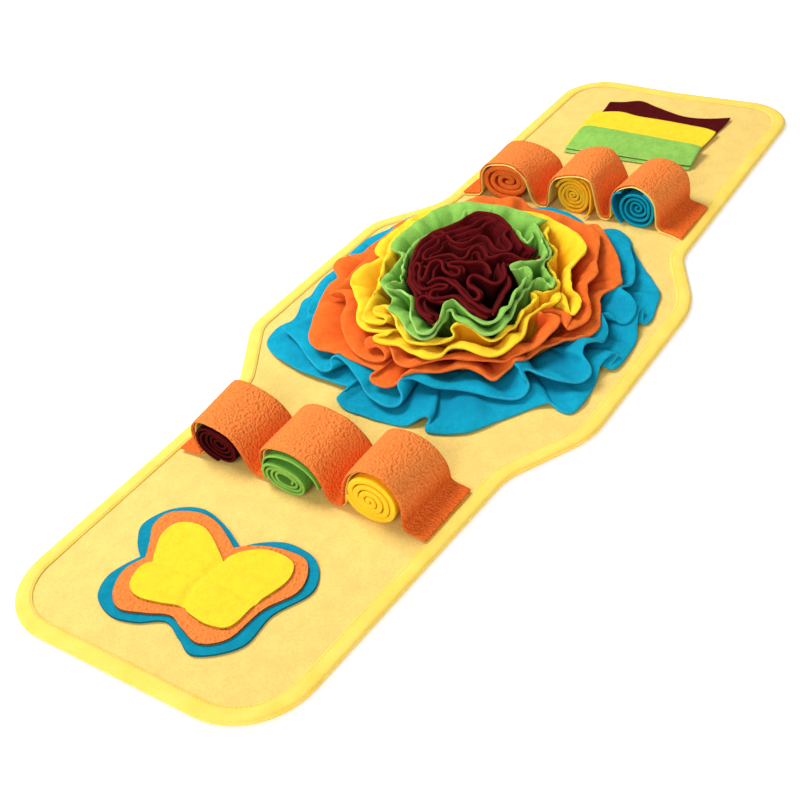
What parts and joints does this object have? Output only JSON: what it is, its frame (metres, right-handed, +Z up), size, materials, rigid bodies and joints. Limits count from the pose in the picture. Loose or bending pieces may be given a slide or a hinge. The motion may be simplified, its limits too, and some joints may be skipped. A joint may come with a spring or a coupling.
{
  "type": "snuffle mat",
  "caption": "Long bound fleece mat for a pet's nose games, with a ruffled flower in its wide middle, arches holding fabric rolls, a flat butterfly and overlapping flaps.",
  "frame": {"origin": "middle of the underside, on the floor", "axes": "+X along the mat's length from the butterfly end to the flap end, +Y across it to the left of +X, +Z up from the floor"},
  "size_m": [0.9999, 0.372, 0.0659],
  "materials": {
    "mat": "matt fleece with a short nap",
    "binding": "smooth woven tape",
    "blue": "matt fleece",
    "orange": "matt fleece",
    "yellow": "matt fleece",
    "green": "matt fleece",
    "maroon": "matt fleece",
    "lining": "thin matt fleece"
  },
  "bodies": {
    "root": {"base_mat": "mat", "binding": "binding", "butterfly_blue": "blue", "butterfly_orange": "orange", "butterfly_yellow": "yellow", "loop_strip_near": "orange", "loop_lining_near": "lining", "loop_strip_far": "orange", "loop_lining_far": "lining", "roll_near_left": "maroon", "roll_near_mid": "green", "roll_near_right": "yellow", "roll_far_left": "orange", "roll_far_mid": "yellow", "roll_far_right": "blue", "roll_near_mid_end": "green", "roll_far_mid_end": "yellow", "roll_far_right_end": "blue", "flap_maroon": "maroon", "flap_yellow": "yellow", "flap_green": "green", "ruffle_blue_lower": "blue", "ruffle_blue_upper": "blue", "ruffle_orange_lower": "orange", "ruffle_orange_upper": "orange", "ruffle_yellow_lower": "yellow", "ruffle_yellow_upper": "yellow", "ruffle_green_lower": "green", "ruffle_green_upper": "green", "rosette_heart": "maroon", "rosette_middle": "maroon", "rosette_outer": "maroon"}
  },
  "joints": []
}
